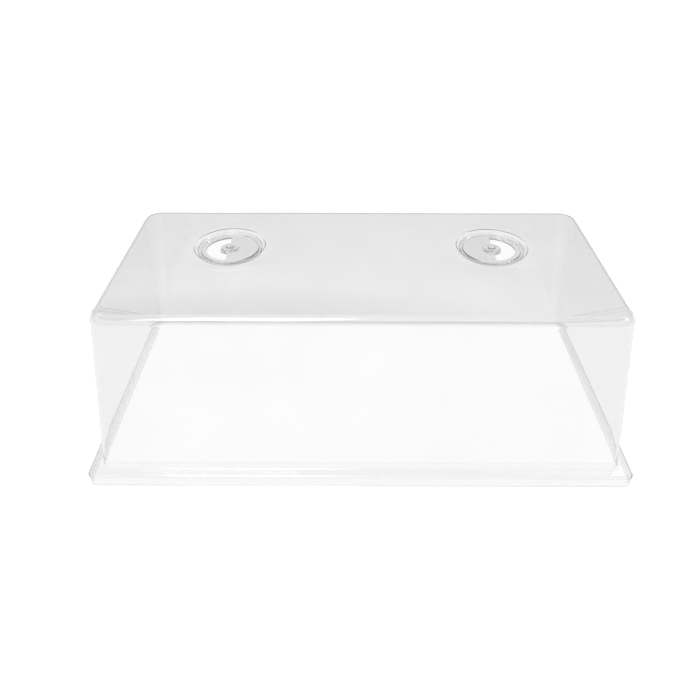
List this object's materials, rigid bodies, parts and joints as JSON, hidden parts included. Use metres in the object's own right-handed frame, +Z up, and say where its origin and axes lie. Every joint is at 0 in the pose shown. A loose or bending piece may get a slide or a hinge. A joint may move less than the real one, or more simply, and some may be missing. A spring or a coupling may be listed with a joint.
{
  "type": "humidity dome",
  "caption": "Clear rigid plastic dome for a seedling tray, with drawn-in walls, a flat roof, a stepped rim that sits on the tray's edge, and two round rotary vents in the roof.",
  "frame": {"origin": "centre of the rim's footprint, on the surface the dome stands on", "axes": "+X along the length, towards the right-hand vent; +Y across, towards the long side that both vents are nearer to; +Z up"},
  "size_m": [0.546, 0.28, 0.182],
  "materials": {
    "dome_clear": "gloss",
    "vent_clear": "gloss",
    "pin_clear": "gloss"
  },
  "bodies": {
    "dome": {"dome_shell": "dome_clear", "vent_pin_left": "pin_clear", "vent_pin_right": "pin_clear"},
    "left_dial": {"vent_dial_left": "vent_clear"},
    "right_dial": {"vent_dial_right": "vent_clear"}
  },
  "joints": [
    {"name": "left_vent_turn", "type": "hinge", "parent": "dome", "child": "left_dial", "pos_m": [-0.136, 0.027, 0.177], "axis": [0, 0, 1], "continuous": true},
    {"name": "right_vent_turn", "type": "hinge", "parent": "dome", "child": "right_dial", "pos_m": [0.136, 0.027, 0.177], "axis": [0, 0, 1], "continuous": true}
  ]
}
